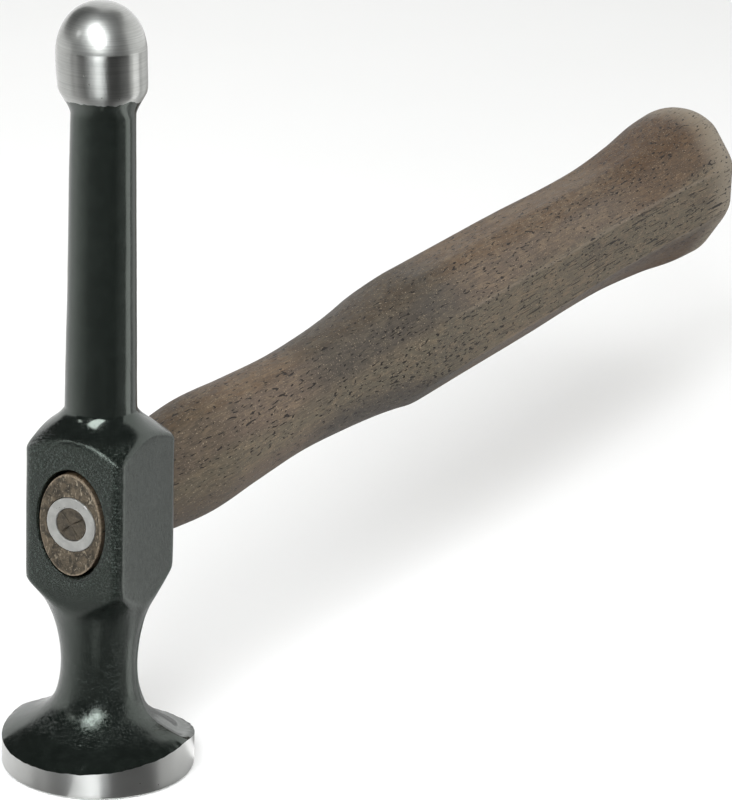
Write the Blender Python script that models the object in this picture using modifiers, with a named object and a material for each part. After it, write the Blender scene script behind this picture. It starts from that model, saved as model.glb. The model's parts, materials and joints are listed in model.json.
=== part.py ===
"""Body hammer: one forged steel head, a hickory handle and a ring wedge.

Frame, in metres: the striking face lies on z = 0 and the axis of the head is +Z.
The handle leaves the eye along +Y. The hammer is symmetric about the plane x = 0.
"""
import math

import bmesh
import bpy

MM = 0.001                      # every size below is written in millimetres

# Head, measured up its own axis
FACE_RADIUS = 20.0              # round striking face
FACE_EDGE = 1.0                 # rounding of the struck edge
RIM_TOP = 6.2                   # top of the ground cylindrical rim
NECK_RADIUS = 7.9               # waist between the face and the eye block
NECK_HEIGHT = 23.0
STEM_BASE_RADIUS = 7.35         # round stem above the eye block
STEM_BASE_HEIGHT = 78.2
STEM_TOP_RADIUS = 6.5
STEM_TOP_HEIGHT = 139.1
BALL_RADIUS = 9.05              # domed end at the top of the stem
BALL_EQUATOR = 151.4
BALL_POWER = 0.91               # 1 would make the dome a half ellipse; less makes it fuller
HEAD_TOP = 161.7

# Eye block in the middle of the head
BLOCK_HALF = 11.46              # half the width across the flat cheeks
BLOCK_CORNER = 2.0              # rounding of its four upright edges
BLOCK_CORE = 16.5               # turned radius that the cheeks are cut from
BLOCK_LOW, BLOCK_HIGH = 45.5, 68.0
EYE_HEIGHT = 56.2               # the handle's axis
EYE_HALF_WIDTH, EYE_HALF_HEIGHT = 7.75, 11.35

# Handle, along +Y from the front cheek
FIT_GAP = 0.3                   # clearance left between neighbouring pieces
TENON_HALF_WIDTH = EYE_HALF_WIDTH - FIT_GAP
TENON_HALF_HEIGHT = EYE_HALF_HEIGHT - FIT_GAP
TENON_FRONT = -11.4
SHOULDER_START = BLOCK_HALF + FIT_GAP
SWELL_START, BUTT_END = 293.0, 311.0
SWELL_POWER = 2.2               # shape of the domed butt

# Oval that bounds the handle: distance along Y, half width, half height
OVAL = [(SHOULDER_START, 8.4, 11.2), (22, 9.3, 12.1), (38, 10.4, 13.15), (56, 10.0, 12.5),
        (76, 9.6, 11.8), (94, 10.4, 12.3), (110, 11.7, 13.2), (122, 13.2, 14.4),
        (136, 15.3, 16.2), (160, 15.6, 16.6), (238, 15.5, 16.4), (262, 15.4, 17.6),
        (280, 16.0, 19.5), (SWELL_START, 16.2, 20.2)]

# Flats of the eight-sided grip: distance along Y, then the distance from the axis to the
# side flat, to the slanted flat and to the top flat, and the slant of the slanted flat
FLATS = [(SHOULDER_START, 13.4, 13.8, 15.1, 46.0), (150, 13.5, 14.1, 15.5, 46.0),
         (195, 13.8, 14.2, 15.7, 46.0), (236, 13.6, 14.0, 15.5, 45.0),
         (262, 14.3, 15.0, 17.4, 40.0), (280, 15.2, 16.2, 19.8, 35.0),
         (SWELL_START, 15.6, 16.8, 20.6, 33.0)]

# Ring wedge driven into the end of the handle
RING_OUTER, RING_INNER, RING_TIP_OUTER = 5.7, 3.5, 5.2
RING_DEPTH = 9.0
RING_FRONT = -11.45

TURN_STEPS = 72
OVAL_STEPS = 56


def smooth_value(table, column, y):
    """Value of one column of a table at y, eased between the rows by a cubic curve."""
    last = len(table) - 1
    if y <= table[0][0]:
        return table[0][column]
    if y >= table[last][0]:
        return table[last][column]
    row = max(i for i in range(last) if table[i][0] <= y)

    def slope(i):
        low, high = max(i - 1, 0), min(i + 1, last)
        return (table[high][column] - table[low][column]) / (table[high][0] - table[low][0])

    start, end = table[row], table[row + 1]
    span = end[0] - start[0]
    t = (y - start[0]) / span
    return ((2 * t**3 - 3 * t**2 + 1) * start[column] + (t**3 - 2 * t**2 + t) * span * slope(row)
            + (3 * t**2 - 2 * t**3) * end[column] + (t**3 - t**2) * span * slope(row + 1))


def arc(centre, radius, start, end, steps):
    """Points of an arc in the profile plane; the angles are degrees from the +radius axis."""
    points = []
    for i in range(steps + 1):
        angle = math.radians(start + (end - start) * i / steps)
        points.append((centre[0] + radius * math.cos(angle), centre[1] + radius * math.sin(angle)))
    return points


def ease(start, end, steps, lead_in, lead_out):
    """Cubic curve between two profile points, leaving and arriving along the given vectors."""
    points = []
    for i in range(1, steps):
        t = i / steps
        points.append(tuple(
            (2 * t**3 - 3 * t**2 + 1) * start[k] + (t**3 - 2 * t**2 + t) * lead_in[k]
            + (3 * t**2 - 2 * t**3) * end[k] + (t**3 - t**2) * lead_out[k] for k in (0, 1)))
    return points


def head_profile():
    """Half section of the turned head as (radius, height), from the top down to the face."""
    flange, flare = (17.0, 8.9), (10.4, 13.2)
    neck = (NECK_RADIUS, NECK_HEIGHT)
    block_root, block_foot = (11.5, 38.0), (15.5, 43.4)
    block_top = (15.4, 70.1)
    stem_base = (STEM_BASE_RADIUS, STEM_BASE_HEIGHT)
    stem_top = (STEM_TOP_RADIUS, STEM_TOP_HEIGHT)
    ball_foot = (8.8, 144.2)
    points = [(0.0, HEAD_TOP)]
    for i in range(1, 11):
        angle = math.radians(90 - 9 * i)
        points.append((BALL_RADIUS * math.cos(angle) ** BALL_POWER,
                       BALL_EQUATOR + (HEAD_TOP - BALL_EQUATOR) * math.sin(angle)))
    points += ease(points[-1], ball_foot, 3, (0, -6), (-0.9, -1.8)) + [ball_foot]
    points += ease(ball_foot, stem_top, 6, (-1.3, -2.6), (0, -4.9)) + [stem_top, stem_base]
    points += ease(stem_base, block_top, 8, (0.1, -4.0), (5.0, -4.2)) + [block_top]
    points += [(BLOCK_CORE, BLOCK_HIGH), (BLOCK_CORE, BLOCK_LOW), block_foot]
    points += ease(block_foot, block_root, 3, (-2.5, -3.4), (-3.2, -5.2)) + [block_root]
    points += ease(block_root, neck, 6, (-7.5, -12.0), (0, -13)) + [neck]
    points += ease(neck, flare, 6, (0, -10), (6.5, -7)) + [flare]
    points += ease(flare, flange, 3, (4.5, -4.8), (7.0, -4.2)) + [flange, (18.7, 7.9), (19.7, 7.0)]
    points += [(FACE_RADIUS, RIM_TOP)]
    points += arc((FACE_RADIUS - FACE_EDGE, FACE_EDGE), FACE_EDGE, 0, -90, 4)
    return points + [(0.0, 0.0)]


def purge_scene():
    for item in list(bpy.data.objects):
        bpy.data.objects.remove(item, do_unlink=True)
    for mesh in list(bpy.data.meshes):
        bpy.data.meshes.remove(mesh)


def collection(name):
    group = bpy.data.collections.new(name)
    bpy.context.scene.collection.children.link(group)
    return group


def material(name, colour, roughness, metallic):
    made = bpy.data.materials.new(name)
    made.use_nodes = True
    shader = made.node_tree.nodes["Principled BSDF"]
    shader.inputs["Base Color"].default_value = (*colour, 1.0)
    shader.inputs["Roughness"].default_value = roughness
    shader.inputs["Metallic"].default_value = metallic
    return made


def mesh_object(name, group, vertices, faces):
    mesh = bpy.data.meshes.new(name)
    mesh.from_pydata([tuple(value * MM for value in vertex) for vertex in vertices], [], faces)
    made = bpy.data.objects.new(name, mesh)
    group.objects.link(made)
    return made


def turned(name, group, profile, steps=TURN_STEPS):
    """Solid of revolution about Z from (radius, height) points that run from top to bottom."""
    mesh = bpy.data.meshes.new(name)
    mesh.from_pydata([(radius * MM, 0.0, height * MM) for radius, height in profile],
                     [(i, i + 1) for i in range(len(profile) - 1)], [])
    made = bpy.data.objects.new(name, mesh)
    group.objects.link(made)
    screw = made.modifiers.new("turn", "SCREW")
    screw.axis = "Z"
    screw.steps = steps
    screw.render_steps = steps
    screw.use_merge_vertices = True
    screw.merge_threshold = 0.00001
    screw.use_smooth_shade = True
    return made


def boolean(target, cutter, operation="DIFFERENCE"):
    step = target.modifiers.new(cutter.name, "BOOLEAN")
    step.operation = operation
    step.solver = "EXACT"
    step.object = cutter


def hide_cutters(cutters):
    for cutter in cutters:
        cutter.hide_render = True
        cutter.display_type = "WIRE"


def bevelled_column(name, group, half, low, high, corner):
    """Square column about Z whose upright edges are rounded."""
    corners = [(-half, -half), (half, -half), (half, half), (-half, half)]
    vertices = [(x, y, z) for z in (low, high) for x, y in corners]
    faces = [(3, 2, 1, 0), (4, 5, 6, 7)] + [(i, (i + 1) % 4, (i + 1) % 4 + 4, i + 4) for i in range(4)]
    made = mesh_object(name, group, vertices, faces)
    if corner > 0:
        work = bmesh.new()
        work.from_mesh(made.data)
        upright = [edge for edge in work.edges
                   if abs(edge.verts[0].co.z - edge.verts[1].co.z) > 1e-6]
        bmesh.ops.bevel(work, geom=upright, offset=corner * MM, segments=6, profile=0.5,
                        affect="EDGES")
        work.to_mesh(made.data)
        work.free()
    return made


def loft(name, group, rings):
    """Closed body through rings of equal point count; each end is closed by one face."""
    count = len(rings[0])
    vertices = [point for ring in rings for point in ring]
    faces = [tuple(reversed(range(count)))]
    for k in range(len(rings) - 1):
        base = k * count
        for i in range(count):
            j = (i + 1) % count
            faces.append((base + i, base + j, base + count + j, base + count + i))
    faces.append(tuple(range((len(rings) - 1) * count, len(rings) * count)))
    made = mesh_object(name, group, vertices, faces)
    work = bmesh.new()
    work.from_mesh(made.data)
    bmesh.ops.recalc_face_normals(work, faces=work.faces)
    work.to_mesh(made.data)
    work.free()
    return made


def ellipse_ring(y, half_width, half_height):
    return [(half_width * math.cos(2 * math.pi * i / OVAL_STEPS), y,
             EYE_HEIGHT + half_height * math.sin(2 * math.pi * i / OVAL_STEPS))
            for i in range(OVAL_STEPS)]


def handle_radius(angle, y):
    """Distance from the handle's axis to its skin: the oval, trimmed by the grip's flats."""
    side, up = abs(math.cos(angle)), abs(math.sin(angle))
    half_width, half_height = smooth_value(OVAL, 1, y), smooth_value(OVAL, 2, y)
    oval = 1 / math.hypot(side / half_width, up / half_height)
    slant = math.radians(smooth_value(FLATS, 4, y))
    across = max(side / smooth_value(FLATS, 1, y), up / smooth_value(FLATS, 3, y),
                 (side * math.cos(slant) + up * math.sin(slant)) / smooth_value(FLATS, 2, y))
    return min(oval, 1 / across)


def handle_ring(y, scale=1.0):
    shape_y = min(y, SWELL_START)
    ring = []
    for i in range(OVAL_STEPS):
        angle = 2 * math.pi * i / OVAL_STEPS
        radius = scale * handle_radius(angle, shape_y)
        ring.append((radius * math.cos(angle), y, EYE_HEIGHT + radius * math.sin(angle)))
    return ring


def handle_rings():
    rings = [ellipse_ring(TENON_FRONT, TENON_HALF_WIDTH, TENON_HALF_HEIGHT),
             ellipse_ring(SHOULDER_START - 0.1, TENON_HALF_WIDTH, TENON_HALF_HEIGHT)]
    y = SHOULDER_START
    while y < SWELL_START - 1:
        rings.append(handle_ring(y))
        y += 5.0 if y < 145 or y > 235 else 15.0
    rings.append(handle_ring(SWELL_START))
    for i in range(1, 12):
        t = math.sin(math.radians(7.9 * i))
        scale = (1 - t ** SWELL_POWER) ** (1 / SWELL_POWER)
        rings.append(handle_ring(SWELL_START + (BUTT_END - SWELL_START) * t, scale))
    return rings


def build_head(group, cutters, steel):
    head = turned("head", group, head_profile())
    around = bevelled_column("cheek_cutter", cutters, 40, 33, 80, 0)
    column = bevelled_column("cheek_column", cutters, BLOCK_HALF, 30, 83, BLOCK_CORNER)
    boolean(around, column)
    boolean(head, around)
    eye = loft("eye_cutter", cutters, [ellipse_ring(-30, EYE_HALF_WIDTH, EYE_HALF_HEIGHT),
                                       ellipse_ring(30, EYE_HALF_WIDTH, EYE_HALF_HEIGHT)])
    boolean(head, eye)
    head.data.materials.append(steel)
    hide_cutters((around, column, eye))
    return head


def build_handle(group, cutters, wood):
    handle = loft("handle", group, handle_rings())
    for face in handle.data.polygons:
        face.use_smooth = True
    depth = RING_DEPTH + FIT_GAP
    outer, inner = RING_OUTER + FIT_GAP, RING_INNER - FIT_GAP
    groove = turned("ring_groove", cutters,
                    [(outer, 5), (outer, -depth), (inner, -depth), (inner, 5), (outer, 5)], 48)
    place_on_tenon(groove)
    boolean(handle, groove)
    handle.data.materials.append(wood)
    hide_cutters((groove,))
    return handle


def place_on_tenon(item):
    """Turn a piece modelled down -Z from its front so that it points into the handle."""
    item.rotation_euler = (math.radians(90), 0, 0)
    item.location = (0, RING_FRONT * MM, EYE_HEIGHT * MM)


def build_ring(group, steel):
    edge = 0.3
    ring = turned("ring_wedge", group,
                  [(RING_OUTER - edge, 0), (RING_OUTER, -edge), (RING_TIP_OUTER, -RING_DEPTH),
                   (RING_INNER, -RING_DEPTH), (RING_INNER, -edge), (RING_INNER + edge, 0),
                   (RING_OUTER - edge, 0)], 48)
    place_on_tenon(ring)
    ring.data.materials.append(steel)
    return ring


def main():
    purge_scene()
    parts = collection("body_hammer")
    cutters = collection("cutters")
    lacquer = material("lacquered_steel", (0.018, 0.021, 0.020), 0.32, 0.0)
    bare = material("bare_steel", (0.55, 0.55, 0.53), 0.35, 1.0)
    wood = material("hickory", (0.135, 0.105, 0.085), 0.5, 0.0)
    build_head(parts, cutters, lacquer)
    build_handle(parts, cutters, wood)
    build_ring(parts, bare)


main()
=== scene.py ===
"""The looks of the body hammer: a lacquered forged head with a bare steel face and ball, a stained
hickory handle with worked flats, and the steel ring wedge that holds them together."""

import json
import math

import bpy
import numpy as np
from mathutils import Matrix, Vector, noise


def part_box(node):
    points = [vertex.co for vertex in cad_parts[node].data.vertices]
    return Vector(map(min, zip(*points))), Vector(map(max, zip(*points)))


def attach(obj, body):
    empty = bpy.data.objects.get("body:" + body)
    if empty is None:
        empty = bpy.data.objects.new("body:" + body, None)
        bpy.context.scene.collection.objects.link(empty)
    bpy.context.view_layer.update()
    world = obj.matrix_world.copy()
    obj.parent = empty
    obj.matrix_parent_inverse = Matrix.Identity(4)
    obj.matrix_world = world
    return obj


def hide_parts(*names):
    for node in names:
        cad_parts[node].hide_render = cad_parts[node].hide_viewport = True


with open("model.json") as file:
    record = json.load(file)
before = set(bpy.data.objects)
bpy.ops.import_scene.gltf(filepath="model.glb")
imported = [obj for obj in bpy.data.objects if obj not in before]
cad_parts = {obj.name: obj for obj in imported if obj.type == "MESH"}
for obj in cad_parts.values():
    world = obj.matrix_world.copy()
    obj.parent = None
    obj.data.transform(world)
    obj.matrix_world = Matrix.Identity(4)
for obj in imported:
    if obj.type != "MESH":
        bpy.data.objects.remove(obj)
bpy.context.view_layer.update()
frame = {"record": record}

# Lengths are in millimetres until a mesh is made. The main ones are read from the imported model.
MM = 0.001
head_low, head_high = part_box("head")
handle_low, handle_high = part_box("handle")
ring_low, ring_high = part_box("ring_wedge")
cheek = {mount["name"]: mount for mount in frame["record"]["mounts"]}["right_cheek"]["pos_m"]

FACE_RADIUS = head_high.x / MM
HEAD_TOP = head_high.z / MM
BLOCK_HALF = cheek[0] / MM
EYE_HEIGHT = cheek[2] / MM
TENON_FRONT = handle_low.y / MM
BUTT_END = handle_high.y / MM
RING_FRONT = ring_low.y / MM
RING_BACK = ring_high.y / MM
RING_OUTER = ring_high.x / MM

# Head
FACE_EDGE = 1.0                     # rounding of the struck edge
RIM_TOP = 6.2                       # top of the ground rim, before the draft of the forging
BALL_RADIUS = 9.07
BALL_EQUATOR = 151.4
BALL_POWER = 0.91                   # 1 would make the dome a half ellipse; less makes it fuller
BALL_LEAN = (-0.45, -0.23)          # the ball sits a little off the axis of the stem
DOME_FOOT = 153.0                   # above it the ball is polished, below it ground
BARE_BALL_HEIGHT = 142.3            # where the lacquer of the stem ends
BLOCK_CORNER = 2.0                  # rounding of the four upright edges
BLOCK_TURNED_RADIUS = 16.5          # of the turned shape, before the four cheeks are cut flat
CREASE_BLEND = 0.9                  # softening where the flats meet the turned shape
SHOULDER_BLEND = 1.1                # the same at the top of the block, which is worn rounder
EYE_HALF_WIDTH, EYE_HALF_HEIGHT = 7.75, 11.35
PARTING_Y = 2.3                     # the forging dies met in this plane
PARTING_RISE = 2.1                  # height of the rim there, above RIM_TOP
PARTING_RIDGE = 0.20                # the flash that was left standing along it
FRONT_DRAFT, BACK_DRAFT = 0.114, 0.185  # fall of the flange away from that plane, per millimetre
RIM_TILT = 0.02                     # fall of the rim from +X towards -X, per millimetre
HOLLOW = 1.5                        # the flange behind the parting plane was hollowed by this much
DENT_BROAD, DENT_FINE = 0.12, 0.02  # unevenness of the forged skin
HEAD_COLUMNS = 240
HEAD_SHARP_ANGLE = 38               # corners sharper than this many degrees stay sharp
LACQUERED, GROUND, POLISHED = range(3)  # the head's materials, in their order
EYE_COLUMNS = 144

# Handle
SHOULDER_START = BLOCK_HALF + 0.3
SWELL_START = 293.0
SWELL_POWER = 2.2                   # shape of the domed butt
TENON_HALF_WIDTH, TENON_HALF_HEIGHT = 7.25, 10.85
TENON_SHIFT = (-0.26, -0.24)        # the tenon sits low and to the left in the eye
GROOVE_INNER, GROOVE_OUTER = 3.44, 5.76
RING_INNER, RING_TIP_OUTER = 3.5, 5.2
RING_COLUMNS = 144
CARVED_WAVE = 0.14                  # unevenness of the shaped wood
HANDLE_COLUMNS = 240
RIDGE_HEIGHT = 6.4                  # of the ridge above each side flat, from the axis of the handle

# Cracks in the core of the tenon: direction and width, in radians
CRACKS = ((0.5, 0.07), (2.3, 0.06), (3.9, 0.09), (5.3, 0.05))

# Oval that bounds the handle: distance along Y, half width, half height
OVAL = [(SHOULDER_START, 8.4, 11.2), (22, 9.3, 12.1), (38, 10.4, 13.15), (56, 10.0, 12.5),
        (76, 9.6, 11.8), (94, 10.4, 12.3), (110, 11.7, 13.2), (122, 13.2, 14.4),
        (136, 15.3, 16.2), (160, 15.6, 16.6), (238, 15.5, 16.4), (262, 15.4, 17.6),
        (280, 16.0, 19.5), (SWELL_START, 16.2, 20.2)]

# Flats of the grip: distance along Y, then how far the side, slanted and top flats stand from the
# axis, and the slant of the slanted flat in degrees
FLATS = [(SHOULDER_START, 13.4, 13.8, 15.1, 46.0), (150, 13.5, 14.1, 15.5, 46.0),
         (195, 13.8, 14.2, 15.7, 46.0), (236, 13.6, 14.0, 15.5, 45.0),
         (262, 14.3, 15.0, 17.4, 40.0), (280, 15.2, 16.2, 19.8, 35.0),
         (SWELL_START, 15.6, 16.8, 20.6, 33.0)]

# Camera: where it stands and from which side it looks, in metres and degrees
CAMERA_PLACE = Vector((0.37998, -0.62710, 0.33208))
CAMERA_AZIMUTH = 27.034
CAMERA_ELEVATION = 18.927
CAMERA_ROLL = 1.834
CAMERA_LENS = 172.5                 # millimetres, on a 36 mm sensor

# Studio: where it is centred, and the room and floor that reflections see, in metres
STUDIO_CENTRE = Vector((0, 0.02, 0.08))
ROOM_RADIUS = 1.35
FLOOR_RADIUS = 1.3                  # of the floor that reflections see
ROOM_DARK, ROOM_PALE = 0.045, 1.0
FLOOR_HALF = 6.0                    # half the side of the real floor
FLOOR_DROP = 0.00005                # the floor lies this far under the struck face
REFLECTED_FLOOR_LIFT = 0.0004       # and the reflected one this far over it
WORLD_STRENGTH = 0.75

# Where the room turns dark: azimuth from the camera's side, and elevation, in degrees
ROOM_EDGE = [(-180, 74), (-165, 72), (-150, 18), (-125, 12), (-80, 13), (-68, -12), (75, -12),
             (79, 42), (95, 42), (116, 47), (145, 47), (162, 70), (180, 74)]

# Brightness of the floor in reflections, by azimuth from the camera's side
FLOOR_BRIGHTNESS = [(-180, 0.9), (-98, 0.9), (-84, 0.72), (-70, 0.56), (-55, 0.40), (-40, 0.22),
                    (-10, 0.13), (45, 0.09), (66, 0.24), (86, 0.28), (91, 1.5), (108, 1.5),
                    (112, 0.44), (120, 0.44), (127, 0.75), (142, 0.60), (165, 0.36), (180, 0.9)]

# The same for the floor close to the face, which the ground rim reflects
NEAR_RADIUS = 0.040
NEAR_FADE = 0.012                   # width of the change from the one to the other
NEAR_BRIGHTNESS = [(-180, 0.9), (-98, 0.78), (-84, 0.74), (-70, 0.68), (-55, 0.54), (-40, 0.32),
                   (-16, 0.15), (-14, 0.60), (4, 0.57), (6, 0.13), (45, 0.12), (66, 0.30),
                   (93, 0.34), (99, 1.2), (108, 1.2), (114, 0.32), (172, 0.28), (180, 0.9)]


# ---------------------------------------------------------------- small geometry helpers

def smooth_step(low, high, value):
    """0 below low, 1 above high, eased between."""
    t = np.clip((value - low) / (high - low), 0.0, 1.0)
    return t * t * (3 - 2 * t)


def soft_min(a, b, blend):
    """The smaller of two distances, with the corner between them rounded over a blend width."""
    mixed = np.clip(blend - np.abs(a - b), 0, None) / blend
    return np.minimum(a, b) - mixed ** 2 * blend / 4


def smooth_value(table, column, y):
    """Value of one column of a table at y, eased between the rows by a cubic curve."""
    last = len(table) - 1
    if y <= table[0][0]:
        return table[0][column]
    if y >= table[last][0]:
        return table[last][column]
    row = max(i for i in range(last) if table[i][0] <= y)

    def slope(i):
        low, high = max(i - 1, 0), min(i + 1, last)
        return (table[high][column] - table[low][column]) / (table[high][0] - table[low][0])

    start, end = table[row], table[row + 1]
    span = end[0] - start[0]
    t = (y - start[0]) / span
    return ((2 * t**3 - 3 * t**2 + 1) * start[column] + (t**3 - 2 * t**2 + t) * span * slope(row)
            + (3 * t**2 - 2 * t**3) * end[column] + (t**3 - t**2) * span * slope(row + 1))


def ease(start, end, steps, lead_in, lead_out):
    """Cubic curve between two profile points, leaving and arriving along the given vectors."""
    points = []
    for i in range(1, steps + 1):
        t = i / steps
        points.append(tuple(
            (2 * t**3 - 3 * t**2 + 1) * start[k] + (t**3 - 2 * t**2 + t) * lead_in[k]
            + (3 * t**2 - 2 * t**3) * end[k] + (t**3 - t**2) * lead_out[k] for k in (0, 1)))
    return points


def run(start, end, steps):
    """Points along a straight stretch of profile, without its first point."""
    return [(start[0] + (end[0] - start[0]) * i / steps, start[1] + (end[1] - start[1]) * i / steps)
            for i in range(1, steps + 1)]


def ragged(angles, seed, waves, fineness):
    """Uneven closed line: a seeded sum of waves round the circle, about 1 high."""
    chance = np.random.default_rng(seed)
    line = np.zeros_like(angles)
    for count in range(1, waves + 1):
        height = count ** -fineness
        line += height * np.cos(count * angles + chance.uniform(0, 2 * math.pi))
    return line / math.sqrt(sum(count ** (-2 * fineness) for count in range(1, waves + 1)))


def mesh_object(name, points, faces, materials, smooth_angle):
    """A mesh object in metres from points in millimetres, shaded smooth except at sharp corners."""
    mesh = bpy.data.meshes.new(name)
    mesh.from_pydata((np.asarray(points) * MM).tolist(), [], faces)
    mesh.validate()
    for material in materials:
        mesh.materials.append(material)
    mesh.shade_smooth()
    mesh.set_sharp_from_angle(angle=math.radians(smooth_angle))
    item = bpy.data.objects.new(name, mesh)
    bpy.context.scene.collection.objects.link(item)
    return item


def grid_faces(rows, columns, closed=False):
    """Quads between rows of points that each go once round; closed joins the last row to the first."""
    faces = []
    for j in range(rows if closed else rows - 1):
        low, high = j * columns, ((j + 1) % rows) * columns
        for i in range(columns):
            k = (i + 1) % columns
            faces.append((low + i, low + k, high + k, high + i))
    return faces


def fan_faces(centre, row_start, columns, reverse):
    """Triangles that close a row round a centre point."""
    faces = []
    for i in range(columns):
        k = (i + 1) % columns
        pair = (row_start + k, row_start + i) if reverse else (row_start + i, row_start + k)
        faces.append((centre, *pair))
    return faces


# ---------------------------------------------------------------- material helpers

class Shader:
    """A material's node tree, with short calls for the few nodes that the materials use."""

    def __init__(self, name):
        self.material = bpy.data.materials.new(name)
        self.material.use_nodes = True
        self.tree = self.material.node_tree
        self.surface = next(n for n in self.tree.nodes if n.type == "BSDF_PRINCIPLED")
        self.position = self.node("ShaderNodeTexCoord").outputs["Object"]

    def node(self, kind, **settings):
        made = self.tree.nodes.new(kind)
        for key, value in settings.items():
            setattr(made, key, value)
        return made

    def feed(self, socket, value):
        """Links a node's output into a socket, or sets the socket to a plain value."""
        if isinstance(value, bpy.types.NodeSocket):
            self.tree.links.new(value, socket)
        else:
            socket.default_value = value

    def scaled(self, per_mm):
        """Object coordinates times so many per millimetre along X, Y and Z."""
        made = self.node("ShaderNodeMapping")
        self.feed(made.inputs["Vector"], self.position)
        made.inputs["Scale"].default_value = [s / MM for s in per_mm]
        return made.outputs["Vector"]

    def along(self, axis):
        """Distance along an axis of the hammer, in millimetres; Z is the height above the struck face."""
        split = self.node("ShaderNodeSeparateXYZ")
        self.feed(split.inputs[0], self.position)
        return self.math("MULTIPLY", split.outputs[axis], 1 / MM)

    def distance(self, across, up, half_width, half_height):
        """Distance from the middle of an ellipse, which is 1 on its outline."""
        wide = self.math("POWER", self.math("DIVIDE", across, half_width), 2.0)
        high = self.math("POWER", self.math("DIVIDE", up, half_height), 2.0)
        return self.math("SQRT", self.math("ADD", wide, high))

    def noise(self, vector, detail=2.0, roughness=0.5, distortion=0.0):
        made = self.node("ShaderNodeTexNoise")
        self.feed(made.inputs["Vector"], vector)
        made.inputs["Scale"].default_value = 1.0
        made.inputs["Detail"].default_value = detail
        made.inputs["Roughness"].default_value = roughness
        made.inputs["Distortion"].default_value = distortion
        return made.outputs["Fac"]

    def cells(self, vector):
        """Distance to the nearest of a scatter of points, about one to each unit."""
        made = self.node("ShaderNodeTexVoronoi", feature="F1")
        self.feed(made.inputs["Vector"], vector)
        made.inputs["Scale"].default_value = 1.0
        made.inputs["Randomness"].default_value = 1.0
        return made.outputs["Distance"]

    def range(self, value, low, high, to_low=0.0, to_high=1.0):
        """Maps low..high to to_low..to_high with eased ends, clamped."""
        made = self.node("ShaderNodeMapRange", interpolation_type="SMOOTHSTEP")
        self.feed(made.inputs["Value"], value)
        ends = {"From Min": low, "From Max": high, "To Min": to_low, "To Max": to_high}
        for key, number in ends.items():
            made.inputs[key].default_value = number
        return made.outputs["Result"]

    def math(self, operation, a, b=0.0):
        made = self.node("ShaderNodeMath", operation=operation)
        self.feed(made.inputs[0], a)
        self.feed(made.inputs[1], b)
        return made.outputs[0]

    def mix(self, share, a, b, blend="MIX"):
        """Mixes two colours by a share from 0 to 1."""
        made = self.node("ShaderNodeMix", data_type="RGBA", blend_type=blend)
        self.feed(made.inputs["Factor"], share)
        for socket, value in ((made.inputs[6], a), (made.inputs[7], b)):
            self.feed(socket, value if isinstance(value, bpy.types.NodeSocket) else (*value, 1.0))
        return made.outputs[2]

    def bump(self, height, depth_mm, strength=1.0, normal=None):
        made = self.node("ShaderNodeBump")
        made.inputs["Strength"].default_value = strength
        made.inputs["Distance"].default_value = depth_mm * MM
        self.feed(made.inputs["Height"], height)
        if normal is not None:
            self.feed(made.inputs["Normal"], normal)
        return made.outputs["Normal"]

    def set(self, **values):
        """Feeds the Principled shader's sockets; an underscore in a name stands for a space."""
        for key, value in values.items():
            socket = self.surface.inputs[key.replace("_", " ")]
            plain = isinstance(value, tuple) and len(value) == 3 and socket.type == "RGBA"
            self.feed(socket, (*value, 1.0) if plain else value)
        return self.material


# ---------------------------------------------------------------- materials

def lacquer():
    """Black lacquer over a forged surface: soft waves, fine grit, hair scratches, dull spots, and paler
    grit specks on the block's front and back faces that are a painted highlight.

    The block and the neck were hammered and tumbled, so they are rougher than the turned stem."""
    s = Shader("black_lacquer")
    height = s.along("Z")
    rough_part = s.math("MULTIPLY", s.range(height, 71.0, 75.0, 1.0, 0.12),
                        s.range(height, 8.5, 12.0, 0.10, 1.0))
    block_part = s.math("MULTIPLY", s.range(height, 71.0, 75.5, 1.0, 0.0), s.range(height, 38.0, 44.0))
    cheek_part = s.math("MULTIPLY", block_part, s.range(s.math("ABSOLUTE", s.along("Y")), 10.4, 11.2))
    waves = s.noise(s.scaled((0.16, 0.16, 0.16)), detail=1.5)
    peel = s.noise(s.scaled((1.5, 1.5, 1.5)), detail=3.0, roughness=0.6, distortion=1.2)
    grit = s.noise(s.scaled((2.6, 2.6, 2.6)), detail=2.0, roughness=0.6)
    specks = s.range(s.cells(s.scaled((0.9, 0.9, 0.9))), 0.0, 0.12, 1.0, 0.0)
    curl = s.noise(s.scaled((0.55, 0.55, 0.55)), detail=2.0, distortion=2.4)
    hairs = s.range(s.math("ABSOLUTE", s.math("SUBTRACT", curl, 0.5)), 0.0, 0.012, 1.0, 0.0)
    normal = s.bump(waves, 0.12, 0.6)
    normal = s.bump(s.math("MULTIPLY", peel, rough_part), 0.075, 0.8, normal)
    normal = s.bump(s.math("MULTIPLY", grit, cheek_part), 0.22, 1.0, normal)
    normal = s.bump(s.math("MULTIPLY", specks, rough_part), 0.06, 0.8, normal)
    normal = s.bump(s.math("MULTIPLY", hairs, rough_part), 0.030, 0.9, normal)
    dull = s.noise(s.scaled((0.4, 0.4, 0.4)), detail=4.0, roughness=0.6)
    colour = s.mix(s.range(dull, 0.35, 0.75), (0.0038, 0.0052, 0.0044), (0.0064, 0.0084, 0.0072))
    # Painted highlight: paler grit specks on the front and back faces of the block stand in for light
    # caught by the rough lacquer.
    painted_highlight = s.math("MULTIPLY", s.range(grit, 0.52, 0.66), cheek_part)
    colour = s.mix(painted_highlight, colour, (0.027, 0.035, 0.030))
    return s.set(Base_Color=colour, Roughness=s.range(dull, 0.3, 0.7, 0.07, 0.15), IOR=1.8,
                 Specular_Tint=(0.88, 1.0, 0.90), Normal=normal)


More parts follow.
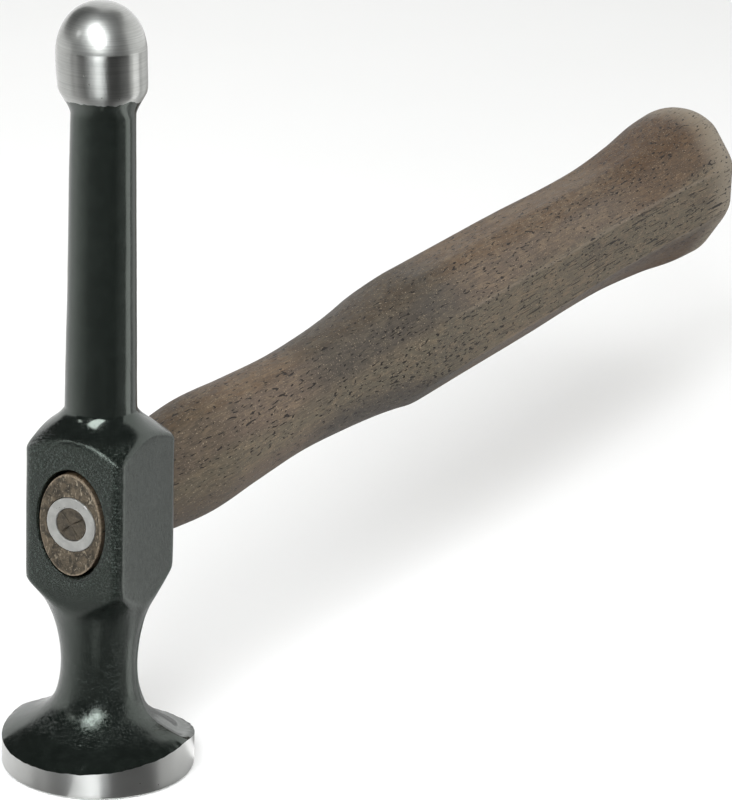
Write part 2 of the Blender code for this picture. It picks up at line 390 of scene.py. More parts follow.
def bare_steel(name, anisotropy, roughness):
    """Bare steel: fine marks that run round the axis of the head, a few pits and light smears.

    The steel of the rim is paler than that of the ball, in part as a painted reflection of the bright
    floor close to it."""
    s = Shader(name)
    marks = s.noise(s.scaled((0.05, 0.05, 7.0)), detail=3.0, roughness=0.7)
    pits = s.range(s.cells(s.scaled((0.30, 0.30, 0.36))), 0.0, 0.07, 1.0, 0.0)
    smears = s.noise(s.scaled((0.25, 0.25, 0.4)), detail=4.0, roughness=0.6)
    normal = s.bump(marks, 0.006, 0.6)
    normal = s.bump(s.math("SUBTRACT", 1.0, pits), 0.1, 0.5, normal)
    tangent = s.node("ShaderNodeTangent", direction_type="RADIAL", axis="Z")
    roughness = s.range(smears, 0.3, 0.7, roughness - 0.02, roughness + 0.03)
    colour = s.mix(s.range(marks, 0.35, 0.65), (0.46, 0.47, 0.45), (0.58, 0.59, 0.565))
    colour = s.mix(s.range(smears, 0.4, 0.75, 0.0, 0.35), colour, (0.43, 0.43, 0.405))
    # The paler rim is in part a painted reflection of the bright floor beside it.
    colour = s.mix(s.range(s.along("Z"), 10.0, 100.0, 1.0, 0.0), colour, (0.80, 0.81, 0.785))
    colour = s.mix(pits, colour, (0.07, 0.06, 0.05))
    return s.set(Base_Color=colour, Metallic=1.0, Roughness=roughness, Anisotropic=anisotropy,
                 Anisotropic_Rotation=0.25, Tangent=tangent.outputs["Tangent"], Normal=normal,
                 Coat_Weight=0.9, Coat_Roughness=0.05)


def ring_steel():
    """Zinc-grey face of the ring wedge, with a fine grain, faint blotches and nicks."""
    s = Shader("wedge_steel")
    grain = s.noise(s.scaled((2.2, 2.2, 2.2)), detail=4.0, roughness=0.6)
    blotch = s.noise(s.scaled((0.45, 0.45, 0.45)), detail=3.0)
    nicks = s.range(s.cells(s.scaled((0.9, 0.9, 0.9))), 0.0, 0.14, 1.0, 0.0)
    normal = s.bump(grain, 0.05, 0.6)
    normal = s.bump(s.math("SUBTRACT", 1.0, nicks), 0.12, 0.6, normal)
    colour = s.mix(s.range(blotch, 0.35, 0.7), (0.47, 0.47, 0.45), (0.57, 0.57, 0.545))
    colour = s.mix(nicks, colour, (0.16, 0.15, 0.13))
    return s.set(Base_Color=colour, Metallic=0.75, Roughness=s.range(grain, 0.3, 0.7, 0.38, 0.55),
                 Normal=normal)


def hickory():
    """Stained hickory: short dark pores in loose rows, long pores low on the sides, pale flecks.

    The colour is warm on top, greyer on the slanted flats and more olive on the sides, which is painted
    light and shade of the facets; it is also darker and a little greener at the throat."""
    s = Shader("stained_hickory")
    along = s.along("Y")
    up = s.math("ABSOLUTE", s.math("SUBTRACT", s.along("Z"), EYE_HEIGHT))
    out = s.math("ABSOLUTE", s.along("X"))
    bands = s.noise(s.scaled((0.30, 0.012, 0.22)), detail=3.0, roughness=0.55, distortion=0.25)
    fibres = s.noise(s.scaled((3.2, 0.22, 3.2)), detail=3.0, roughness=0.6)
    blotch = s.noise(s.scaled((0.10, 0.022, 0.10)), detail=3.0, roughness=0.6, distortion=0.4)
    mottle = s.noise(s.scaled((0.7, 0.22, 0.7)), detail=4.0, roughness=0.65)
    flecks = s.range(s.noise(s.scaled((3.4, 2.0, 3.4)), detail=1.0), 0.655, 0.72)

    share = s.range(bands, 0.30, 0.70, 0.035, -0.045)
    short_field = s.noise(s.scaled((2.4, 0.46, 2.4)), detail=0.5)
    short_pores = s.range(s.math("ADD", short_field, share), 0.660, 0.690)
    long_field = s.noise(s.scaled((1.9, 0.060, 1.9)), detail=1.0)
    low_side = s.math("MULTIPLY", s.range(up, 3.0, 8.0, 1.0, 0.2), s.range(along, 120.0, 200.0))
    long_pores = s.math("MULTIPLY", s.range(long_field, 0.635, 0.67), low_side)
    pores = s.math("MAXIMUM", short_pores, long_pores)

    uneven = s.range(blotch, 0.3, 0.7, -1.6, 1.6)
    # Painted light and shade of the facets: a warm lit colour on the tops, a greyer, more olive one on
    # the sides.
    painted_top_light = s.range(s.math("ADD", s.math("SUBTRACT", up, out), uneven), 3.0, 7.5)
    painted_side_light = s.range(s.math("ADD", s.math("SUBTRACT", out, up), uneven), 4.0, 8.5)
    colour = s.mix(painted_top_light, (0.112, 0.082, 0.060), (0.104, 0.066, 0.038))
    colour = s.mix(painted_side_light, colour, (0.116, 0.096, 0.066))
    colour = s.mix(s.range(blotch, 0.50, 0.72, 0.0, 0.50), colour, (0.066, 0.048, 0.034))
    colour = s.mix(s.range(bands, 0.45, 0.7, 0.0, 0.35), colour, (0.165, 0.120, 0.078))
    colour = s.mix(s.range(mottle, 0.45, 0.64, 0.0, 0.55), colour, (0.176, 0.128, 0.082))
    colour = s.mix(s.range(fibres, 0.36, 0.60, 0.58, 0.0), colour, (0.040, 0.030, 0.020))

    # The tone changes along the handle: darker at the throat, painted shade on top of the swell before
    # the grip and less on its sides, darker and warmer on top of the butt, and paler at its end
    throat = s.range(s.math("ADD", along, uneven), 26.0, 54.0, 0.95, 0.0)
    colour = s.mix(throat, colour, (0.70, 0.72, 0.70), "MULTIPLY")
    swell = s.math("MULTIPLY", s.range(along, 66.0, 88.0), s.range(along, 132.0, 158.0, 0.9, 0.0))
    swell = s.math("MULTIPLY", swell, s.math("SUBTRACT", 1.0, s.math("MULTIPLY", painted_side_light, 0.7)))
    colour = s.mix(swell, colour, (0.52, 0.60, 0.67), "MULTIPLY")
    butt = s.math("MULTIPLY", s.range(along, 226.0, 256.0), s.range(along, 280.0, 298.0, 0.9, 0.0))
    butt = s.math("MULTIPLY", butt, s.math("SUBTRACT", 1.0, painted_side_light))
    colour = s.mix(butt, colour, (0.74, 0.64, 0.54), "MULTIPLY")
    colour = s.mix(s.range(along, 280.0, 298.0, 0.0, 0.85), colour, (0.230, 0.196, 0.148))

    # The ridge over each side flat gets a painted highlight, a pale line where its rounded edge catches
    # the light; flecks and pores lie over everything
    ridge = s.math("ABSOLUTE", s.math("SUBTRACT", up, RIDGE_HEIGHT))
    painted_highlight = s.math("MULTIPLY", s.range(ridge, 0.15, 0.55, 0.30, 0.0), s.range(out, 11.5, 13.0))
    painted_highlight = s.math("MULTIPLY", painted_highlight, s.range(along, 130.0, 150.0))
    colour = s.mix(painted_highlight, colour, (0.200, 0.162, 0.125))
    colour = s.mix(s.math("MULTIPLY", flecks, 0.55), colour, (0.340, 0.270, 0.190))
    colour = s.mix(s.math("MULTIPLY", pores, 0.92), colour, (0.010, 0.007, 0.005))
    height = s.math("SUBTRACT", s.math("MULTIPLY", fibres, 0.35), pores)
    normal = s.bump(height, 0.14, 0.7)
    normal = s.bump(mottle, 0.22, 0.3, normal)
    return s.set(Base_Color=colour, Roughness=s.range(fibres, 0.3, 0.7, 0.42, 0.60),
                 Specular_IOR_Level=0.2, Normal=normal)


def end_grain():
    """The sawn end of the tenon in the eye: short fibres, dark blotches, pale streaks, pale specks
    painted as glints, and a painted highlight along its edge.
    """
    s = Shader("hickory_end_grain")
    blotch = s.noise(s.scaled((0.55, 0.55, 0.55)), detail=4.0, roughness=0.6, distortion=0.6)
    fibres = s.noise(s.scaled((2.6, 2.6, 2.6)), detail=3.0, roughness=0.65)
    specks = s.range(s.cells(s.scaled((1.2, 1.2, 1.2))), 0.05, 0.20, 1.0, 0.0)
    streaks = s.range(s.noise(s.scaled((2.2, 1.0, 0.7)), detail=2.0, distortion=0.8), 0.60, 0.68)
    colour = s.mix(s.range(blotch, 0.35, 0.65), (0.020, 0.015, 0.008), (0.082, 0.062, 0.038))
    colour = s.mix(s.range(fibres, 0.45, 0.7, 0.0, 0.40), colour, (0.125, 0.098, 0.062))
    side = s.math("SUBTRACT", s.along("X"), TENON_SHIFT[0])
    up = s.math("SUBTRACT", s.along("Z"), EYE_HEIGHT)
    core = s.range(s.distance(side, up, 1.0, 1.0), 3.3, 3.6, 1.0, 0.0)
    shifted_up = s.math("SUBTRACT", up, TENON_SHIFT[1])
    outline = s.range(s.distance(side, shifted_up, TENON_HALF_WIDTH, TENON_HALF_HEIGHT), 0.950, 0.980)
    streaks = s.math("MULTIPLY", s.math("MULTIPLY", streaks, s.math("SUBTRACT", 1.0, core)), 0.40)
    colour = s.mix(streaks, colour, (0.40, 0.34, 0.25))
    # Painted glints: pale specks on the end grain.
    colour = s.mix(s.math("MULTIPLY", specks, 0.32), colour, (0.44, 0.38, 0.29))
    # Painted highlight: a pale, uneven line along the edge of the tenon's end.
    tenon_end = s.math("MULTIPLY", outline, s.range(fibres, 0.35, 0.6, 0.10, 0.65))
    colour = s.mix(tenon_end, colour, (0.28, 0.22, 0.155))
    colour = s.mix(s.math("MULTIPLY", core, 0.5), colour, (0.030, 0.025, 0.017))
    normal = s.bump(fibres, 0.25, 0.7)
    normal = s.bump(blotch, 0.4, 0.5, normal)
    return s.set(Base_Color=colour, Roughness=0.7, Normal=normal)


def plain_floor():
    """Pale studio floor with the faintest mottle."""
    s = Shader("pale_floor")
    mottle = s.noise(s.scaled((0.01, 0.01, 0.01)), detail=2.0)
    return s.set(Base_Color=s.mix(mottle, (0.85, 0.85, 0.85), (0.87, 0.87, 0.87)), Roughness=0.75)


def glow(name):
    """Glow that takes its strength from the brightness stored at each point of the mesh."""
    material = bpy.data.materials.new(name)
    material.use_nodes = True
    tree = material.node_tree
    tree.nodes.clear()
    stored = tree.nodes.new("ShaderNodeAttribute")
    stored.attribute_name = "brightness"
    emission = tree.nodes.new("ShaderNodeEmission")
    output = tree.nodes.new("ShaderNodeOutputMaterial")
    tree.links.new(stored.outputs["Fac"], emission.inputs["Strength"])
    tree.links.new(emission.outputs[0], output.inputs["Surface"])
    return material


# ---------------------------------------------------------------- head

def head_profile():
    """Half section of the turned head as (radius, height), from just under the top to the foot of
    the rim."""
    block_root, block_foot = (11.6, 37.6), (15.6, 42.7)
    block_low, block_crown = (BLOCK_TURNED_RADIUS, 45.5), (BLOCK_TURNED_RADIUS, 70.1)
    shoulder = (9.6, 75.4)
    stem_base, stem_top = (7.35, 78.4), (6.52, 139.07)
    neck, flare, flange = (7.9, 23.0), (10.4, 13.0), (17.0, 8.0)
    ball_foot = (8.82, 144.2)
    rim_top, rim_foot = (FACE_RADIUS, RIM_TOP), (FACE_RADIUS, FACE_EDGE)
    dome_steps, edge_steps = 34, 6
    points = []
    for i in range(1, dome_steps + 1):
        angle = math.radians(90 - 90 * i / dome_steps)
        points.append((BALL_RADIUS * math.cos(angle) ** BALL_POWER,
                       BALL_EQUATOR + (HEAD_TOP - BALL_EQUATOR) * math.sin(angle)))
    points += ease(points[-1], ball_foot, 16, (0, -6), (-0.7, -1.8))
    points += ease(ball_foot, stem_top, 16, (-0.5, -3.2), (0, -4.95))
    points += run(stem_top, stem_base, 46)
    points += ease(stem_base, shoulder, 16, (0.0, -2.6), (3.2, -2.4))
    points += run(shoulder, block_crown, 24)
    points += run(block_crown, block_low, 28)
    points += run(block_low, block_foot, 8)
    points += ease(block_foot, block_root, 20, (-2.5, -3.4), (-3.2, -5.2))
    points += ease(block_root, neck, 30, (-7.5, -12.0), (0, -13))
    points += ease(neck, flare, 20, (0, -10), (6.5, -7))
    points += ease(flare, flange, 18, (4.5, -4.9), (7.0, -4.2))
    points += run(flange, rim_top, 11)
    points += run(rim_top, rim_foot, 9)
    for i in range(1, edge_steps + 1):
        angle = math.radians(90 * i / edge_steps)
        points.append((FACE_RADIUS - FACE_EDGE + FACE_EDGE * math.cos(angle),
                       FACE_EDGE - FACE_EDGE * math.sin(angle)))
    return np.array(points)


def rounded_square_radius(angles):
    """Distance from the axis to the outline of the eye block, in each direction."""
    reach = BLOCK_HALF - BLOCK_CORNER
    turned = np.abs((angles + math.pi / 4) % (math.pi / 2) - math.pi / 4)
    flat = BLOCK_HALF / np.cos(turned)
    diagonal = reach * math.sqrt(2)
    off = turned - math.pi / 4
    half_chord = np.sqrt(np.clip(BLOCK_CORNER ** 2 - (diagonal * np.sin(off)) ** 2, 0, None))
    corner = diagonal * np.cos(off) + half_chord
    return np.where(np.tan(turned) < reach / BLOCK_HALF, flat, corner)


def flange_rise(x, y):
    """How far the draft of the forging lifts the rim; it is highest where the dies met."""
    behind = y - PARTING_Y
    slope = np.where(behind > 0, BACK_DRAFT, FRONT_DRAFT)
    return PARTING_RISE - slope * np.sqrt(behind ** 2 + 0.2) - RIM_TILT * (18 - x)


def head_mesh(materials):
    """The head as one closed skin. Rows run round the axis; the flats and the draft bend them."""
    profile = head_profile()
    angles = np.arange(HEAD_COLUMNS) * 2 * math.pi / HEAD_COLUMNS
    square = rounded_square_radius(angles)
    heights = profile[:, 1]

    # The edges of the lacquer: at the ball it is tilted and ragged, with one tongue to the right.
    # Rows between slide_foot and the ball's equator slide along the profile to follow it.
    ball_line = 0.35 * np.cos(angles - math.radians(-70)) + 0.20 * ragged(angles, 11, 46, 0.55)
    ball_line += 0.9 * np.exp(-((angles - math.radians(338)) / 0.22) ** 2)
    rim_line = 0.09 * ragged(angles, 12, 70, 0.35)
    slide_foot = 120
    stem_part = profile[(heights > slide_foot) & (heights <= BALL_EQUATOR)]
    slide_heights, slide_radii = stem_part[::-1, 1], stem_part[::-1, 0]
    rows = []
    for radius, height in profile:
        r = np.full_like(angles, radius)
        z = np.full_like(angles, height)
        if slide_foot < height < BALL_EQUATOR:
            near = math.exp(-((height - BARE_BALL_HEIGHT) / 1.8) ** 2)
            z += near * ball_line
            r = np.interp(z, slide_heights, slide_radii)
        if 36.5 < height < 77.5:
            shoulder_share = float(smooth_step(66.0, 70.0, height))
            blend = CREASE_BLEND + (SHOULDER_BLEND - CREASE_BLEND) * shoulder_share
            r = soft_min(r, square, blend)

        # Draft of the forging at the flange, the hollow behind the parting plane, and the ridge in it
        y = r * np.sin(angles)
        rise = flange_rise(r * np.cos(angles), y)
        behind = y - PARTING_Y
        if height > RIM_TOP:
            z += rise * (1 - smooth_step(6.4, 12.5, height))
            hollow = smooth_step(6.4, 8.4, height) * (1 - smooth_step(11.5, 16.5, height))
            z -= HOLLOW * hollow * (1 - np.exp(-np.clip(behind + 0.3, 0, None) / 1.6))
            z += rim_line * (1 - smooth_step(RIM_TOP, RIM_TOP + 1.2, height))
        elif height >= FACE_EDGE:
            z += (rise + rim_line) * (height - FACE_EDGE) / (RIM_TOP - FACE_EDGE)
        ridge = smooth_step(9.0, 13.0, height) * (1 - smooth_step(30.0, 37.0, height))
        r = r + PARTING_RIDGE * ridge * np.exp(-(behind / 0.30) ** 2)
        lean = smooth_step(140.0, 152.0, height)
        rows.append(np.stack([r * np.cos(angles) + lean * BALL_LEAN[0],
                              r * np.sin(angles) + lean * BALL_LEAN[1], z], axis=1))
    for radius in (17.5, 14.0, 9.0, 4.0):
        rows.append(np.stack([radius * np.cos(angles), radius * np.sin(angles), 0 * angles], axis=1))
    points = np.concatenate(rows + [[(*BALL_LEAN, HEAD_TOP)], [(0.0, 0.0, 0.0)]])
    dent_forging(points)
    count = len(rows) * HEAD_COLUMNS
    faces = [face[::-1] for face in grid_faces(len(rows), HEAD_COLUMNS)]
    faces += fan_faces(count, 0, HEAD_COLUMNS, False)
    faces += fan_faces(count + 1, count - HEAD_COLUMNS, HEAD_COLUMNS, True)
    item = mesh_object("head_forging", points, faces, materials, HEAD_SHARP_ANGLE)
    choose_head_materials(item.data, heights)
    return item


def choose_head_materials(mesh, heights):
    """Polished dome, ground rest of the ball, lacquer down to the rim, and ground rim and face."""
    dome_row = int(np.argmax(heights <= DOME_FOOT))
    ball_row = int(np.argmin(np.abs(heights - BARE_BALL_HEIGHT)))
    rim_row = int(np.argmax(heights <= RIM_TOP + 1e-6))
    for face in mesh.polygons:
        row = min(face.vertices) // HEAD_COLUMNS
        bare = row < ball_row or row >= rim_row
        face.material_index = POLISHED if row < dome_row else GROUND if bare else LACQUERED


def dent_forging(points):
    """Pushes the lacquered skin in and out by a few hundredths, as a forging is never quite true."""
    for point in points:
        x, y, z = point
        depth = smooth_step(8.0, 12.0, z) * (1 - smooth_step(136.0, 141.0, z))
        if depth > 0:
            broad = noise.noise(Vector((x, y, z * 0.6)) * 0.11)
            fine = noise.noise(Vector((x, y, z)) * 0.45 + Vector((40, 0, 0)))
            away = math.hypot(x, y)
            push = depth * (DENT_BROAD * broad + DENT_FINE * fine) / away
            point[0] = x * (1 + push)
            point[1] = y * (1 + push)


def eye_cutter():
    """Oval plug that cuts the eye, with a small flare where it comes out at each cheek."""
    angles = np.arange(EYE_COLUMNS) * 2 * math.pi / EYE_COLUMNS
    plug_end = 14.0
    back = [(10.2, 0.0), (10.8, 0.08), (11.2, 0.24), (11.5, 0.42), (11.9, 0.62), (plug_end, 1.0)]
    front = [(-y, flare) for y, flare in reversed(back)]
    rows = []
    for y, flare in front + back:
        wobble = 0.05 * ragged(angles, 21, 12, 0.8) * (1 if y < 0 else -1)
        across = EYE_HALF_WIDTH + flare + wobble
        up = EYE_HALF_HEIGHT + flare + wobble
        rows.append(np.stack([across * np.cos(angles), np.full_like(angles, y),
                              EYE_HEIGHT + up * np.sin(angles)], axis=1))
    points = np.concatenate(rows + [[(0, -plug_end, EYE_HEIGHT)], [(0, plug_end, EYE_HEIGHT)]])
    count = len(rows) * EYE_COLUMNS
    faces = [face[::-1] for face in grid_faces(len(rows), EYE_COLUMNS)]
    faces += fan_faces(count, 0, EYE_COLUMNS, False)
    faces += fan_faces(count + 1, count - EYE_COLUMNS, EYE_COLUMNS, True)
    return points, faces


def build_head():
    """The head with its eye cut through it."""
    materials = [lacquer(), bare_steel("ground_steel", anisotropy=1.0, roughness=0.32),
                 bare_steel("polished_steel", anisotropy=0.0, roughness=0.42)]
    head = head_mesh(materials)
    points, faces = eye_cutter()
    cutter = mesh_object("eye_cutter", points, faces, materials[:1], 30)
    cut = head.modifiers.new("eye", "BOOLEAN")
    cut.operation = "DIFFERENCE"
    cut.solver = "EXACT"
    cut.object = cutter
    graph = bpy.context.evaluated_depsgraph_get()
    mesh = bpy.data.meshes.new_from_object(head.evaluated_get(graph))
    mesh.name = "head_forging"
    head.modifiers.clear()
    head.data = mesh
    bpy.data.objects.remove(cutter)
    mesh.shade_smooth()
    mesh.set_sharp_from_angle(angle=math.radians(HEAD_SHARP_ANGLE))
    return head


# ---------------------------------------------------------------- handle

def handle_section(angles, y):
    """Distance from the handle's axis to its surface: an oval cut by the eight flats."""
    across, up = smooth_value(OVAL, 1, y), smooth_value(OVAL, 2, y)
    side, slanted, top = (smooth_value(FLATS, k, y) for k in (1, 2, 3))
    slant = math.radians(smooth_value(FLATS, 4, y))
    cosine, sine = np.abs(np.cos(angles)), np.abs(np.sin(angles))
    far_off = 60.0
    oval = 1 / np.sqrt((cosine / across) ** 2 + (sine / up) ** 2)
    side_flat = side / np.maximum(cosine, 1e-3)
    top_flat = top / np.maximum(sine, 1e-3)
    slanted_flat = slanted / (cosine * math.cos(slant) + sine * math.sin(slant))
    body = soft_min(oval, slanted_flat, 0.5)
    body = soft_min(body, np.minimum(top_flat, far_off), 0.8)
    return soft_min(body, np.minimum(side_flat, far_off), 0.16)


def tenon_rows(angles):
    """Rows from the middle of the core's end, out over the ring groove and the tenon's end, and
    along the tenon to the shoulder."""
    cosine, sine = np.cos(angles), np.sin(angles)
    shift_x, shift_z = TENON_SHIFT

    def row(across, up, y, shift=0.0):
        return np.stack([across * cosine + shift * shift_x, np.zeros_like(angles) + y,
                         EYE_HEIGHT + up * sine + shift * shift_z], axis=1)

    # The core inside the ring, with a few cracks that run out from its middle
    rows = []
    core_front = TENON_FRONT + 0.12
    cracks = np.zeros_like(angles)
    for where, width in CRACKS:
        apart = (angles - where + math.pi) % (2 * math.pi) - math.pi
        cracks += np.exp(-(apart / width) ** 2)
    for radius in (0.35, 0.8, 1.3, 1.8, 2.3, 2.8, 3.15):
        lumps = 0.10 * ragged(angles, int(radius * 10), 9, 0.4) * radius / 3
        depth = 0.5 * cracks * math.sin(math.pi * radius / 3.4)
        rows.append(row(radius, radius, core_front + lumps + depth))

    # Down the inner wall of the groove, over its floor and up the outer wall
    groove_floor = RING_BACK + 0.1
    wall_top, outer_top = core_front + 0.2, TENON_FRONT + 0.3
    foot = 0.5                      # the outer wall leans in by this much at its foot
    rows.append(row(GROOVE_INNER - 0.06, GROOVE_INNER - 0.06, core_front + 0.02))
    rows.append(row(GROOVE_INNER, GROOVE_INNER, wall_top))
    for share in (0.33, 0.66, 1.0):
        rows.append(row(GROOVE_INNER, GROOVE_INNER, wall_top + share * (groove_floor - wall_top)))
    for share in (0.0, 0.33, 0.66, 1.0):
        radius = GROOVE_OUTER - foot * (1 - share)
        rows.append(row(radius, radius, groove_floor + share * (outer_top - groove_floor)))

    # The end of the tenon, lumpy from the saw and the hammer, and its outer side
    tenon_end = TENON_FRONT + 0.05
    lip, bevel = GROOVE_OUTER + 0.1, 0.22
    rows.append(row(lip, lip, tenon_end + 0.08 + 0.05 * ragged(angles, 31, 40, 0.3)))
    across, up = TENON_HALF_WIDTH, TENON_HALF_HEIGHT
    steps = 9
    for i in range(1, steps + 1):
        share = i / steps
        lumps = 0.07 * ragged(angles, 40 + i, 26, 0.35)
        a = lip + (across - bevel - lip) * share
        b = lip + (up - bevel - lip) * share
        rows.append(row(a, b, tenon_end + 0.1 * math.sin(math.pi * share) + lumps, share))
    rows.append(row(across - 0.06, up - 0.06, tenon_end + 0.14, 1.0))
    rows.append(row(across, up, tenon_end + 0.4, 1.0))
    for y in (-8.0, -4.0, 0.0, 4.0, 8.0, 10.0, SHOULDER_START - 0.35):
        rows.append(row(across, up, y, 1 - smooth_step(-4.0, 8.0, y)))
    return rows


def grip_rows(angles):
    """Rows of the handle that shows behind the head, from the shoulder to just before the butt's
    middle."""
    cosine, sine = np.cos(angles), np.sin(angles)

    def row(radius, y):
        return np.stack([radius * cosine, np.zeros_like(angles) + y, EYE_HEIGHT + radius * sine], axis=1)

    chamfer = 0.3
    stations = [SHOULDER_START, SHOULDER_START + 0.25]
    stations += list(np.arange(SHOULDER_START + 1.2, SWELL_START - 0.6, 1.45)) + [SWELL_START]
    rows = []
    for y in stations:
        radius = handle_section(angles, y)
        rows.append(row(radius - chamfer if y == SHOULDER_START else radius, y))
    last = handle_section(angles, SWELL_START)
    steps = 26
    for i in range(1, steps):
        turn = math.radians(90 * i / steps)
        t = math.sin(turn)
        scale = (1 - t ** SWELL_POWER) ** (1 / SWELL_POWER)
        rows.append(row(last * scale, SWELL_START + (BUTT_END - SWELL_START) * t))
    return rows


def build_handle():
    """The handle as one closed skin, with end grain on the face of the tenon."""
    angles = np.arange(HANDLE_COLUMNS) * 2 * math.pi / HANDLE_COLUMNS
    rows = tenon_rows(angles) + grip_rows(angles)
    points = np.concatenate(rows + [[(0, TENON_FRONT + 0.25, EYE_HEIGHT)], [(0, BUTT_END, EYE_HEIGHT)]])
    carve_handle(points)
    count = len(rows) * HANDLE_COLUMNS
    faces = [face[::-1] for face in grid_faces(len(rows), HANDLE_COLUMNS)]
    faces += fan_faces(count, 0, HANDLE_COLUMNS, False)
    faces += fan_faces(count + 1, count - HANDLE_COLUMNS, HANDLE_COLUMNS, True)
    handle = mesh_object("hickory_handle", points, faces, [hickory(), end_grain()], smooth_angle=34)
    end_grain_back = TENON_FRONT + 1.2
    for face in handle.data.polygons:
        middle = sum(handle.data.vertices[k].co.y for k in face.vertices) / len(face.vertices) / MM
        face.material_index = 1 if middle < end_grain_back else 0
    return handle


def carve_handle(points):
    """Slow waves that shaping by hand leaves in the wood, a few hundredths deep."""
    for point in points:
        x, y, z = point
        depth = smooth_step(14.0, 30.0, y) * (1 - smooth_step(300.0, 309.0, y))
        if depth > 0:
            wave = noise.noise(Vector((x * 0.09, y * 0.035, z * 0.09)))
            away = max(math.hypot(x, z - EYE_HEIGHT), 1.0)
            push = depth * CARVED_WAVE * wave / away
            point[0] = x * (1 + push)
            point[2] = EYE_HEIGHT + (z - EYE_HEIGHT) * (1 + push)


# ---------------------------------------------------------------- ring wedge

def build_ring():
    """Steel ring with a chamfered face and a taper towards its hidden tip."""
    angles = np.arange(RING_COLUMNS) * 2 * math.pi / RING_COLUMNS
    face = RING_FRONT + 0.02
    section = [(RING_INNER + 0.22, face + 0.03), (RING_OUTER - 0.20, face),
               (RING_OUTER - 0.06, face + 0.05), (RING_OUTER, face + 0.2),
               (RING_OUTER - 0.1, face + 2.5), (RING_TIP_OUTER + 0.1, RING_BACK - 1.0),
               (RING_TIP_OUTER - 0.5, RING_BACK), (RING_INNER + 0.45, RING_BACK),
               (RING_INNER, RING_BACK - 0.8), (RING_INNER, face + 2.5), (RING_INNER, face + 0.3),
               (RING_INNER + 0.07, face + 0.1)]

    # Its face is slightly wavy and uneven, since it was driven in with a hammer
    low, high = section[0], section[1]
    across = [(low[0] + (high[0] - low[0]) * w, low[1] + (high[1] - low[1]) * w + 0.02 * math.cos(w * 21))
              for w in np.linspace(0, 1, 9)[1:-1]]
    rows = []
    for k, (radius, y) in enumerate([low] + across + section[1:]):
        nick = np.abs(0.035 * ragged(angles, 50 + k, 40, 0.2)) if y < face + 0.25 else 0 * angles
        r = radius - nick
        x, z = r * np.cos(angles), EYE_HEIGHT + r * np.sin(angles)
        rows.append(np.stack([x, y + 0.4 * nick, z], axis=1))
    points = np.concatenate(rows)
    faces = [face[::-1] for face in grid_faces(len(rows), RING_COLUMNS, closed=True)]
    return mesh_object("steel_ring_wedge", points, faces, [ring_steel()], 40)


# ---------------------------------------------------------------- stage, light and camera

def direction(azimuth, elevation):
    """Unit vector from the hammer; azimuth 0 is the side of -Y, 90 that of +X."""
    a, e = math.radians(azimuth), math.radians(elevation)
    return Vector((math.sin(a) * math.cos(e), -math.cos(a) * math.cos(e), math.sin(e)))


def facing(place, target, spin=0.0):
    """Matrix of something at place whose -Z looks at target, turned by spin degrees about that line."""
    turn = (target - place).to_track_quat("-Z", "Y").to_matrix().to_4x4()
    return Matrix.Translation(place) @ turn @ Matrix.Rotation(math.radians(spin), 4, "Z")


def soft_light(name, azimuth, elevation, distance, size, radiance, spin=0.0):
    """Rectangular light of a given brightness, seen from the hammer in a given direction."""
    lamp = bpy.data.lights.new(name, "AREA")
    lamp.shape = "RECTANGLE"
    lamp.size, lamp.size_y = size
    lamp.energy = radiance * math.pi * size[0] * size[1]
    item = bpy.data.objects.new(name, lamp)
    place = STUDIO_CENTRE + direction(azimuth, elevation) * distance
    item.matrix_world = facing(place, STUDIO_CENTRE, spin)
    item.visible_camera = False
    bpy.context.scene.collection.objects.link(item)
    return item


def card(name, points, faces, brightness):
    """Glowing surface that only reflections see, with a brightness for each of its points."""
    mesh = bpy.data.meshes.new(name)
    mesh.from_pydata([tuple(point) for point in points], [], faces)
    values = mesh.attributes.new("brightness", "FLOAT", "POINT")
    for k, value in enumerate(brightness):
        values.data[k].value = value
    mesh.materials.append(glow(name))
    item = bpy.data.objects.new(name, mesh)
    bpy.context.scene.collection.objects.link(item)
    item.visible_camera = False
    item.visible_diffuse = False
    item.visible_transmission = False
    item.visible_shadow = False


def build_stage():
    """Floor and world, and the cards that reflections see."""
    mesh = bpy.data.meshes.new("studio_floor")
    corners = [(-FLOOR_HALF, -FLOOR_HALF, 0), (FLOOR_HALF, -FLOOR_HALF, 0),
               (FLOOR_HALF, FLOOR_HALF, 0), (-FLOOR_HALF, FLOOR_HALF, 0)]
    mesh.from_pydata(corners, [], [(0, 1, 2, 3)])
    mesh.materials.append(plain_floor())
    floor = bpy.data.objects.new("studio_floor", mesh)
    floor.location.z = -FLOOR_DROP
    bpy.context.scene.collection.objects.link(floor)

    # What reflections see in place of the studio: a room, dark but for its pale lower part at the
    # sides and its pale back, and a floor that is darker in front of the hammer
    card("reflected_room", *reflected_room())
    card("reflected_floor", *reflected_floor())

    world = bpy.data.worlds.new("studio")
    bpy.context.scene.world = world
    world.use_nodes = True
    background = world.node_tree.nodes["Background"]
    background.inputs["Color"].default_value = (1.0, 1.0, 0.98, 1.0)
    background.inputs["Strength"].default_value = WORLD_STRENGTH


def reflected_room():
    """Points, faces and brightness of the sphere round the hammer, from its top to under the floor.

    Its rings of points are 4 degrees apart, and the points of a ring 3 degrees."""
    heights = [86 - 4 * j for j in range(25)]
    turns = [-180 + 3 * i for i in range(120)]
    fade = 4
    points = [STUDIO_CENTRE + Vector((0, 0, ROOM_RADIUS))]
    brightness = [ROOM_DARK]
    for height in heights:
        for turn in turns:
            edge = float(np.interp(turn, *zip(*ROOM_EDGE)))
            dark = float(smooth_step(edge - fade, edge + fade, height))
            points.append(STUDIO_CENTRE + direction(CAMERA_AZIMUTH + turn, height) * ROOM_RADIUS)
            brightness.append(ROOM_PALE + (ROOM_DARK - ROOM_PALE) * dark)
    faces = fan_faces(0, 1, len(turns), False)
    faces += [tuple(1 + k for k in face) for face in grid_faces(len(heights), len(turns))]
    return points, faces, brightness


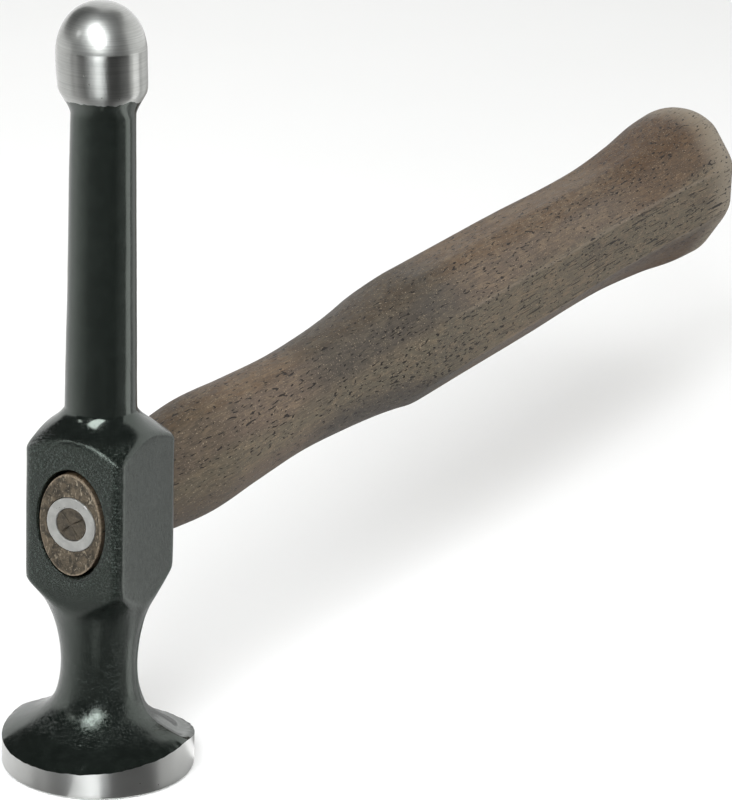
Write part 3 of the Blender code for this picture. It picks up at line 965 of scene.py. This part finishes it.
def reflected_floor():
    """Points, faces and brightness of a disc just over the floor; its brightness goes by azimuth."""
    turns = [-180 + 2 * i for i in range(180)]
    lift = Vector((0, 0, REFLECTED_FLOOR_LIFT))
    radii = (0.001, NEAR_RADIUS, NEAR_RADIUS + NEAR_FADE, FLOOR_RADIUS)
    points, brightness = [], []
    for radius in radii:
        points += [direction(CAMERA_AZIMUTH + turn, 0) * radius + lift for turn in turns]
        table = NEAR_BRIGHTNESS if radius <= NEAR_RADIUS else FLOOR_BRIGHTNESS
        brightness += [float(np.interp(turn, *zip(*table))) for turn in turns]
    return points, grid_faces(len(radii), len(turns)), brightness


def build_lights():
    """A tilted softbox over the camera, a small lamp on the left, and a broad fill on the right that
    reflections don't see."""
    key = soft_light("key_softbox", azimuth=CAMERA_AZIMUTH - 10, elevation=40, distance=0.9,
                     size=(0.42, 0.84), radiance=8.0, spin=36)
    key.data.color = (0.96, 0.98, 1.0)
    soft_light("side_lamp", azimuth=CAMERA_AZIMUTH - 68, elevation=33, distance=0.9,
               size=(0.16, 0.16), radiance=3.5)
    overhead = soft_light("overhead_fill", azimuth=CAMERA_AZIMUTH + 60, elevation=62, distance=1.2,
                          size=(1.2, 1.2), radiance=1.1)
    overhead.visible_glossy = False


def build_camera():
    """The camera: its back points along the viewing direction, and its top is turned by the roll."""
    data = bpy.data.cameras.new("camera")
    data.lens = CAMERA_LENS
    data.sensor_width = 36.0
    data.clip_start, data.clip_end = 0.05, 40.0
    camera = bpy.data.objects.new("camera", data)
    back = direction(CAMERA_AZIMUTH, CAMERA_ELEVATION)
    azimuth = math.radians(CAMERA_AZIMUTH)
    right = Vector((math.cos(azimuth), math.sin(azimuth), 0))
    up = back.cross(right)
    roll = math.radians(CAMERA_ROLL)
    turned_right = right * math.cos(roll) + up * math.sin(roll)
    turned_up = up * math.cos(roll) - right * math.sin(roll)
    turn = Matrix((turned_right, turned_up, back)).transposed().to_4x4()
    camera.matrix_world = Matrix.Translation(CAMERA_PLACE) @ turn
    bpy.context.scene.collection.objects.link(camera)
    bpy.context.scene.camera = camera
    bpy.context.scene.view_settings.view_transform = "Standard"


build_stage()
build_lights()
build_camera()

PIECES = ((build_head, "head", "lacquered_steel"), (build_handle, "handle", "hickory"),
          (build_ring, "ring_wedge", "bare_steel"))
for build, node, slot in PIECES:
    piece = build()
    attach(piece, "root")
    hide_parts(node)
